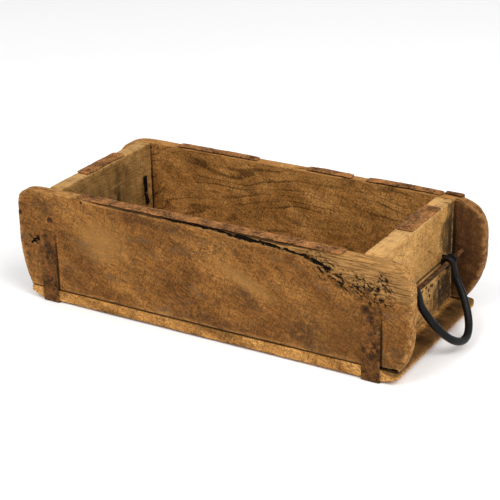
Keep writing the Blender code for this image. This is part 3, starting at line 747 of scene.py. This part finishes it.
def bottom_finish():
    """Bright orange-tan edges, a top face darkened as painted shade, and a ledge at each end darker still,
    painted shade and dirt.
    """
    shades = {"light": (0.56, 0.28, 0.08), "middle": (0.42, 0.195, 0.05), "dark": (0.2, 0.085, 0.02)}
    place = {"pith": (0, 40, -60), "late": 0.8, "grime": 0.7}
    wood, colour, roughness, height = old_wood("bottom_wood", **place, **shades)
    # Painted shade: the top face, shut in between the boards, is darkened.
    top = wood.spot((0, 0, 40), (400, 400, 30.5), soft=0.985)
    colour = wood.blend(wood.mask(top, 0.6), colour, (0.13, 0.065, 0.02))
    # The ledges and the spots on them: painted shade in the recess at each end, and dirt.
    ledge_shade_and_dirt = wood.spot((165, 0, 14), (16, 400, 7), soft=0.7)
    colour = wood.blend(wood.mask(ledge_shade_and_dirt, 0.75), colour, (0.045, 0.023, 0.009))
    stains = [((158, y, 12), (11, 22, 7), (0, 0, 0)) for y in (-44, -12, 16, 44)]
    stains += [((-162, y, 12), (15, 40, 7), (0, 0, 0)) for y in (-40, 30)]
    colour = smudge(wood, colour, stains, (0.025, 0.012, 0.005), 0.9)
    chips = wood.between(wood.noise((12, 5, 3), (4, 4, 4), detail=5.0, rough=0.7), 0.56, 0.62)
    low_edge = wood.spot((0, 0, -29), (400, 400, 34.5), soft=0.93)
    colour = wood.blend(wood.mask(chips, low_edge, wood.mark("rim"), 0.85), colour, (0.05, 0.022, 0.009))
    return wood.close(colour, roughness, height, 0.35)


bottom_plank = finish(bottom_board(), bottom_finish(), ["bottom_board"])
print(bottom_plank.name, len(bottom_plank.data.polygons), "faces")

# %% [markdown]
# ## Bent iron
# Straps, strips, rods, split pins and bails are all iron of one section carried along a path. Blender could
# bevel a curve, but a strap's edges are ragged and a bail's eyes are hammered flat, so the section has to
# change along the way. Here a path is a row of points, corners are rounded by averaging neighbours, and the
# section is given anew for each row.

# %% Paths and sections
def bent_path(corners, spacing, softness):
    """Points every `spacing` along straight runs, then each averaged with its neighbours over `softness`."""
    corners = np.array(corners, float)
    length = np.concatenate([[0], np.cumsum(np.linalg.norm(np.diff(corners, axis=0), axis=1))])
    even = np.linspace(0, length[-1], int(length[-1] / spacing) + 1)
    path = np.stack([np.interp(even, length, corners[:, i]) for i in range(corners.shape[1])], axis=1)
    reach = max(1, int(softness / spacing / 2))
    window = np.ones(2 * reach + 1) / (2 * reach + 1)
    ends = np.concatenate([2 * path[0] - path[reach:0:-1], path, 2 * path[-1] - path[-2 : -reach - 2 : -1]])
    return np.stack([np.convolve(ends[:, i], window, "valid") for i in range(corners.shape[1])], axis=1)


def carried(path, outward, section):
    """A section carried along a path: path + first offset × outward + second offset × sideways."""
    tangent = np.gradient(path, axis=0)
    tangent /= np.linalg.norm(tangent, axis=1, keepdims=True)
    sideways = np.cross(tangent, outward)
    sideways /= np.linalg.norm(sideways, axis=1, keepdims=True)
    outward = np.cross(sideways, tangent)
    return path[:, None] + section[..., :1] * outward[:, None] + section[..., 1:] * sideways[:, None]


def bar_section(thick, wide, columns, end=4):
    """Oval sections, one row each, rounded off over the first and last few rows."""
    turn = np.linspace(0, 2 * pi, columns, endpoint=False)
    rows = np.arange(len(thick))
    close = np.clip(np.minimum(rows, rows[::-1]) / end, 0, 1)
    taper = np.sqrt(1 - (1 - close) ** 2)[:, None] * 0.98 + 0.02
    return np.stack([np.outer(thick, np.cos(turn)) * taper, np.outer(wide, np.sin(turn)) * taper], axis=-1)


def strip_section(low_edge, high_edge, half_thickness, across=18):
    """Flat sections between two ragged edges: thickness falls to nothing as the root of 1 - u^16."""
    u = np.sin(np.linspace(-pi / 2, pi / 2, across))
    loop = np.concatenate([u, u[-2:0:-1]])
    side = np.concatenate([np.ones(across), -np.ones(across - 2)])
    thick = np.sqrt(1 - np.abs(loop) ** 16) * side
    middle, half = (low_edge + high_edge) / 2, (high_edge - low_edge) / 2
    width = middle[:, None] + half[:, None] * loop
    return np.stack([half_thickness[:, None] * thick, width], axis=-1)


# %% [markdown]
# ## Rust
# Iron that has lain about turns dark brown, breaks out in orange where the rust is fresh and shines grey
# where it has been rubbed. Those three are layers with their own noise. The bump comes from the same noise
# as the colour, so each pit is also a darker spot.

# %% The irons' finishes
def rusty(name, deep, brown, fresh, bare, orange=0.6, rubbed=0.58):
    """Pitted rust. orange and rubbed say how high the noise must be for fresh rust and for bare metal."""
    iron = Recipe(name, gloss=0.1)
    clouds = iron.noise((12, 12, 12), detail=5.0, rough=0.65)
    grain = iron.noise((2.4, 2.4, 2.4), detail=4.0, rough=0.75)
    both = iron.maths("ADD", iron.maths("MULTIPLY", clouds, 0.5), iron.maths("MULTIPLY", grain, 0.5))
    colour = iron.ramp(both, (0.4, deep), (0.5, brown), (0.62, fresh))
    patch = iron.between(iron.noise((17, 9, 9), (4, 2, 9), detail=4.0), orange, orange + 0.12)
    colour = iron.blend(iron.mask(patch, iron.between(grain, 0.35, 0.6), 0.85), colour, fresh)
    shine = iron.between(iron.noise((8, 8, 5), (2, 8, 1), detail=6.0, rough=0.7), rubbed, rubbed + 0.1)
    shine = iron.mask(shine, iron.between(grain, 0.4, 0.62))
    colour = iron.blend(iron.mask(shine, 0.7), colour, bare)
    roughness = iron.between(shine, 0.0, 1.0, 0.86, 0.5)
    metal = iron.between(shine, 0.0, 1.0, 0.0, 0.55)
    return iron, colour, roughness, both, metal


def blackened(name):
    """Black forged iron, satin, with brown dust in its hollows."""
    iron = Recipe(name, gloss=0.15)
    clouds = iron.noise((9, 9, 9), detail=4.0)
    grain = iron.noise((2.2, 2.2, 2.2), detail=3.0)
    black = (0.0025, 0.0024, 0.0024)
    colour = iron.ramp(clouds, (0.4, black), (0.6, (0.004, 0.0035, 0.003)), (0.72, (0.01, 0.0065, 0.0045)))
    roughness = iron.between(grain, 0.3, 0.7, 0.32, 0.46)
    return iron.close(colour, roughness, iron.maths("ADD", clouds, iron.maths("MULTIPLY", grain, 0.5)), 0.25)


def closed_rust(name, depth, *shades, **levels):
    """A finished rust material, its layers joined to the shader with pits of `depth` mm."""
    iron, colour, roughness, height, metal = rusty(name, *shades, **levels)
    return iron.close(colour, roughness, height, depth, metal)


STRAP_RUST = ((0.024, 0.01, 0.0035), (0.095, 0.04, 0.0105), (0.22, 0.082, 0.02), (0.21, 0.14, 0.08))
RIM_RUST = ((0.04, 0.016, 0.006), (0.2, 0.088, 0.028), (0.42, 0.17, 0.05), (0.4, 0.25, 0.13))
ROD_RUST = ((0.016, 0.007, 0.003), (0.06, 0.026, 0.01), (0.17, 0.07, 0.024), (0.25, 0.16, 0.09))
NAIL_RUST = ((0.014, 0.007, 0.003), (0.06, 0.026, 0.011), (0.15, 0.058, 0.02), (0.2, 0.14, 0.09))
strap_rust = closed_rust("strap_rust", 0.4, *STRAP_RUST)
rim_rust = closed_rust("rim_rust", 0.3, *RIM_RUST)
rod_rust = closed_rust("rod_rust", 0.2, *ROD_RUST)
nail_rust = closed_rust("nail_rust", 0.15, *NAIL_RUST)
black_iron = blackened("forged_black")
print("finishes:", ", ".join(m.name for m in (strap_rust, rim_rust, rod_rust, nail_rust, black_iron)))

# %% [markdown]
# ## The straps
# A strap is thin flat iron that starts part way up the front, passes under the box and climbs the back. The
# right one is folded over the top edge. It is the section that is ragged, not the path.

# %% The straps
def strap(end, side, front_top):
    """One strap, a flat section carried along its path. Only the right one is folded over the top."""
    low, high = span(end + "_strap")
    thickness = 1.2 * MM
    x, half_width = (low[0] + high[0]) / 2, (high[0] - low[0]) / 2
    face, under, over = high[1] - thickness / 2, low[2] + thickness / 2, high[2] - thickness / 2
    corners = [(-face, front_top), (-face, under), (face, under)]
    corners += [(face, over), (face - 5.5 * MM, over)] if side > 0 else [(face, high[2])]
    plane = bent_path(corners, 0.8 * MM, 3 * MM)
    path = np.stack([np.full(len(plane), x), plane[:, 0], plane[:, 1]], axis=1)
    outward = np.cross(np.gradient(path, axis=0), (1.0, 0, 0))
    ragged = ripple(path, (9, 9, 9), 120 + side, 3) * 0.7 * MM
    other = ripple(path + 1, (9, 9, 9), 130 + side, 3) * 0.7 * MM
    row_end = np.clip(np.minimum(np.arange(len(path)), np.arange(len(path))[::-1]) / 3, 0.15, 1)
    section = strip_section(-half_width + np.abs(ragged), half_width - np.abs(other), thickness / 2 * row_end)
    grid = carried(path, outward, section)
    pits = ripple(grid, (5, 5, 5), 140 + side) * 0.12 * MM
    grid = grid + pits[..., None] * (outward / np.linalg.norm(outward, axis=1, keepdims=True))[:, None]
    made = surface(end + "_iron_strap", grid)
    return finish(made, strap_rust, [end + "_strap"])


for end, side, front_top in (("left", -1, 63.5 * MM), ("right", 1, 61 * MM)):
    print(strap(end, side, front_top).name)

# %% [markdown]
# ## The strips and plates on the rim
# Thin iron once bound the whole rim. The front strip is whole, the back one has broken into three lengths,
# and a plate is left on each end board. Their edges are torn and they lift a little between the nails, so
# each is a flat section along a gently waving line.

# %% The rim irons
def rim_iron(node, along, lift, seed):
    """A strip or plate on the rim, running along x (0) or y (1)."""
    low, high = span(node)
    run = np.linspace(low[along], high[along], int((high[along] - low[along]) / (0.9 * MM)))
    across = 1 - along
    path = np.zeros((len(run), 3))
    path[:, along] = run
    path[:, across] = (low[across] + high[across]) / 2
    half = (high[across] - low[across]) / 2
    t = (run - low[along]) / (high[along] - low[along])
    wave = (0.5 + 0.5 * ripple(path, (26, 26, 26), seed)) * np.sin(pi * t) ** 0.5
    path[:, 2] = (low[2] + high[2]) / 2 + lift * MM * wave
    edge = (ripple(path, (6, 6, 6), seed + 1, 4) + 0.1) * 1.5 * MM
    other = (ripple(path + 1, (6, 6, 6), seed + 2, 4) + 0.1) * 1.5 * MM
    torn = ease(np.minimum(t, 1 - t) * (high[along] - low[along]), -2.5 * MM, 1.2 * MM)
    low_edge = -half * torn + np.clip(edge, 0, None)
    high_edge = half * torn - np.clip(other, 0, None)
    section = strip_section(low_edge, np.maximum(high_edge, low_edge + 0.5 * MM), np.full(len(run), 0.5 * MM))
    grid = carried(path, np.tile((0, 0, 1.0), (len(run), 1)), section)
    grid[..., 2] += ripple(grid, (4, 4, 4), seed + 3) * 0.1 * MM
    return finish(surface(node + "_iron", grid), rim_rust, [node])


rim_iron("front_rim_strip", 0, 0.3, 201)
for i, part in enumerate(("left", "middle", "right")):
    rim_iron("back_rim_strip_" + part, 0, 1.2, 210 + 5 * i)
for end, side in sides.items():
    rim_iron(end + "_rim_plate", 1, 0.3, 230 + 9 * side)
print("rim irons made")

# %% [markdown]
# ## Rods, split pins and bails
# A rod crosses each hand hold through both planks, and two split pins tie it to the end board. Their legs
# come through to the inside and are bent over. The bail is a round bar bent to a bow. Its ends were hammered
# thinner and curled round the rod, so it swings. Its path has two parts: the curl, a circle about the rod,
# and the bow, half an ellipse in the plane that the bail hangs in.

# %% The rods and the split pins
ROD_X, ROD_Z, ROD_RADIUS = 157.8 * MM, 54.5 * MM, 2 * MM


def cross_rod(end, side):
    """The rod at one end, slightly uneven, its ends worn round."""
    low, high = span(end + "_cross_rod")
    y = np.linspace(low[1], high[1], 170)
    path = np.stack([np.full_like(y, side * ROD_X), y, np.full_like(y, ROD_Z)], axis=1)
    thick = ROD_RADIUS * (1 + 0.04 * ripple(path, (10, 10, 10), 301 + side))
    grid = carried(path, np.tile((0, 0, 1.0), (len(y), 1)), bar_section(thick, thick, 24, 3))
    return finish(surface(end + "_rod", grid), rod_rust, [end + "_cross_rod"])


def split_pin(node, side):
    """A split pin: clinched leg, neck, eye round the rod, and the other leg."""
    low, high = span(node)
    wire, spread = 1.2 * MM, 1.5 * MM
    eye = ROD_RADIUS + 0.4 * MM + wire
    inner = (low[0] if side > 0 else -high[0]) + wire - ROD_X
    turn = np.linspace(radians(150), radians(-150), 15)
    ring = np.stack([eye * np.cos(turn), eye * np.sin(turn)], axis=1)
    neck = -eye - 1.2 * MM
    upper = [(inner, high[2] - ROD_Z - wire / 2), (inner, spread), (neck, spread)]
    lower = [(neck, -spread), (inner, -spread), (inner, low[2] - ROD_Z + wire / 2)]
    plane = bent_path([*upper, *ring, *lower], 0.45 * MM, 1.6 * MM)
    y = (low[1] + high[1]) / 2
    clinched = ease(np.abs(plane[:, 1]), 4 * MM, 8 * MM)
    splay = np.where(plane[:, 1] > 0, -0.06, 0.3) * np.clip(np.abs(plane[:, 1]) - 3 * MM, 0, None)
    path = np.stack([side * (ROD_X + plane[:, 0]), y + splay, ROD_Z + plane[:, 1]], axis=1)
    outward = np.cross(np.gradient(path, axis=0), (0, 1.0, 0))
    thick = wire * (1 - 0.25 * clinched)
    wide = wire * (1 + (0.7 + 0.3 * ripple(path, (3, 3, 3), 320)) * clinched)
    grid = carried(path, outward, bar_section(thick, wide, 14, 4))
    return finish(surface(node + "_wire", grid), black_iron, [node])


for end, side in sides.items():
    cross_rod(end, side)
    for place in ("front", "back"):
        split_pin(f"{end}_{place}_split_pin", side)
print("rods and split pins made")

# %% The bails
BAIL = {"radius": 3.1 * MM, "half_spacing": 32.1 * MM, "depth": 54.3 * MM}
BAIL.update(shoulder=4 * MM, neck=14 * MM)
EYE_THICKNESS, EYE_WIDTH, CURL, HANG = 1.8 * MM, 3.1 * MM, radians(250), radians(33)


def bail_half():
    """Half a bail from the tip of its curl to the middle of its bow.

    Rows are (across, down the hanging plane, out of it, outward as (down, out), thickness, width). On the
    curl, down = -R sin t and out = R cos t. On the bow, across = h cos t and down = s + (D - s) sin t.
    """
    eye = ROD_RADIUS + 0.4 * MM + EYE_THICKNESS
    turn = np.linspace(CURL, 0, 40, endpoint=False)
    flat = np.ones_like(turn)
    curl = [BAIL["half_spacing"] * flat, -eye * np.sin(turn), eye * np.cos(turn), -np.sin(turn), np.cos(turn),
            EYE_THICKNESS * flat * ease(turn[::-1], -0.6, 0.5), EYE_WIDTH * flat]
    shoulder = np.linspace(0, BAIL["shoulder"], 14, endpoint=False)
    bow = np.linspace(0, pi / 2, 90)
    spacing = BAIL["half_spacing"]
    across = np.concatenate([np.full_like(shoulder, spacing), spacing * np.cos(bow)])
    down = np.concatenate([shoulder, BAIL["shoulder"] + (BAIL["depth"] - BAIL["shoulder"]) * np.sin(bow)])
    swell = ease(down, 0, BAIL["neck"])
    thick = EYE_THICKNESS + (BAIL["radius"] - EYE_THICKNESS) * swell
    wide = EYE_WIDTH + (BAIL["radius"] - EYE_WIDTH) * swell
    leg = [across, down, eye * (1 - swell), 0 * down, 1 + 0 * down, thick, wide]
    return np.concatenate([np.stack(curl, axis=1), np.stack(leg, axis=1)])


def bail(end, side, joint):
    """A whole bail, on its joint's axis, leaning out as far as its tight eyes hold it."""
    half = bail_half()
    other = half[-2::-1] * (-1, 1, 1, 1, 1, 1, 1)
    rows = np.concatenate([half, other])
    down = np.array((side * sin(HANG), 0, -cos(HANG)))
    out = np.array((side * cos(HANG), 0, sin(HANG)))
    path = np.array(joint["pos_m"]) + rows[:, :1] * (0, 1, 0) + rows[:, 1:2] * down + rows[:, 2:3] * out
    outward = rows[:, 3:4] * down + rows[:, 4:5] * out
    forged = 1 + 0.035 * ripple(path, (9, 9, 9), 401 + side)
    grid = carried(path, outward, bar_section(rows[:, 5] * forged, rows[:, 6] * forged, 28, 5))
    made = surface(end + "_bail", grid)
    return finish(made, black_iron, [end + "_bail_handle"], end + "_bail")


joints = {joint["child"]: joint for joint in frame["record"]["behaviour"]["joints"]}
for end, side in sides.items():
    print(bail(end, side, joints[end + "_bail"]).name)

# %% [markdown]
# ## The nails
# Every nail is hand-made: a low, uneven, roughly round head on a shank that is lost in the wood. Only the
# head is made fine. It is a turned shape whose radius wobbles with the angle, set on the nail's own axis.

# %% The nails
def nail(node, number):
    """One nail along the longest side of its solid, its head at the end nearer the outside."""
    low, high = span(node)
    axis = int(np.argmax(high - low))
    middle = (low + high) / 2
    outward = -1.0 if axis == 2 and middle[2] < 20 * MM else float(np.sign(middle[axis]))
    head_radius = (high - low)[(axis + 1) % 3] / 2
    top = high[axis] if outward > 0 else low[axis]
    profile = [(0, 0.02), (0.02, 0.35), (0.1, 0.66), (0.3, 0.9), (0.55, 1), (0.85, 0.97)]
    profile = np.array([*profile, (1.1, 0.42), (9, 0.38), (16, 0.1)])
    turn = np.linspace(0, 2 * pi, 20, endpoint=False)
    wobble = 1 + 0.07 * np.sin(2 * turn + number) + 0.05 * np.sin(5 * turn + 2 * number)
    radius = head_radius * profile[:, 1:] * wobble
    dome = 0.95 * MM * profile[:, :1] + 0 * turn
    grid = np.zeros((len(profile), len(turn), 3))
    grid[...] = middle
    grid[..., axis] = top - outward * dome
    grid[..., (axis + 1) % 3] += radius * np.cos(turn)
    grid[..., (axis + 2) % 3] += radius * np.sin(turn)
    rust = rim_rust if "rim" in node else nail_rust
    return finish(surface(node + "_head", grid), rust, [node])


nail_nodes = sorted(name for name in frame["nodes"] if "_nail_" in name)
for number, node in enumerate(nail_nodes):
    nail(node, number)
print(len(nail_nodes), "nails")

# %% [markdown]
# ## Floor, light and camera
# The mold stands on a plain pale floor under soft white light. A white sky fills the shadows, and one broad
# lamp above the right-hand end gives the tops and that end their brightness. The camera looks down on the
# box from its right front with a long lens, so the boards' edges converge only a little.

# %% The floor and the light
def floor(radius=4.0):
    """A round pale floor, one disc of rings."""
    turn = np.linspace(0, 2 * pi, 64, endpoint=False)
    reach = np.array([0.01, 0.5, 1.0, radius, radius, 0.01])[:, None]
    depth = np.array([0, 0, 0, 0, -0.01, -0.01])[:, None] + 0 * turn
    made = surface("floor", np.stack([reach * np.cos(turn), reach * np.sin(turn), depth], axis=-1))
    pale = Recipe("pale_floor")
    cloud = pale.noise((400, 400, 400))
    colour = pale.ramp(cloud, (0.0, (0.9, 0.9, 0.9)), (1.0, (0.93, 0.93, 0.93)))
    pale.close(colour, pale.between(cloud, 0, 1, 0.85, 0.9), cloud, 0.01)
    made.data.materials.append(pale.material)


def softbox(name, place, aim, size, watts):
    """A square lamp that faces a point."""
    light = bpy.data.lights.new(name, "AREA")
    light.shape, light.size, light.energy = "SQUARE", size, watts
    lamp = bpy.data.objects.new(name, light)
    lamp.location = place
    lamp.rotation_euler = (Vector(aim) - Vector(place)).to_track_quat("-Z", "Y").to_euler()
    bpy.context.scene.collection.objects.link(lamp)


floor()
softbox("key", (1.3, -0.5, 1.5), (0, 0, 0.05), 1.2, 26)
softbox("front", (-0.3, -1.5, 1.9), (0, 0, 0.05), 1.2, 22)
world = bpy.data.worlds.new("studio")
world.use_nodes = True
world.node_tree.nodes["Background"].inputs["Color"].default_value = (1, 1, 1, 1)
world.node_tree.nodes["Background"].inputs["Strength"].default_value = 0.7
bpy.context.scene.world = world
bpy.context.scene.view_settings.view_transform = "Standard"

# %% The camera
CAMERA_PLACE = Vector((0.5866, -0.9839, 0.5447))
CAMERA_TURN, CAMERA_TILT, CAMERA_ROLL = radians(30.785), radians(23.46), radians(-1.106)

ahead = cos(CAMERA_TILT)
forward = Vector((-sin(CAMERA_TURN) * ahead, cos(CAMERA_TURN) * ahead, -sin(CAMERA_TILT)))
level = Vector((cos(CAMERA_TURN), sin(CAMERA_TURN), 0))
upright = level.cross(forward)
right = level * cos(CAMERA_ROLL) + upright * sin(CAMERA_ROLL)
above = upright * cos(CAMERA_ROLL) - level * sin(CAMERA_ROLL)
lens = bpy.data.cameras.new("camera")
lens.lens, lens.sensor_width = 110.7, 36.0
lens.clip_start, lens.clip_end = 0.05, 30.0
camera = bpy.data.objects.new("camera", lens)
facing = Matrix((right, above, -forward)).transposed().to_4x4()
camera.matrix_world = Matrix.Translation(CAMERA_PLACE) @ facing
bpy.context.scene.collection.objects.link(camera)
bpy.context.scene.camera = camera
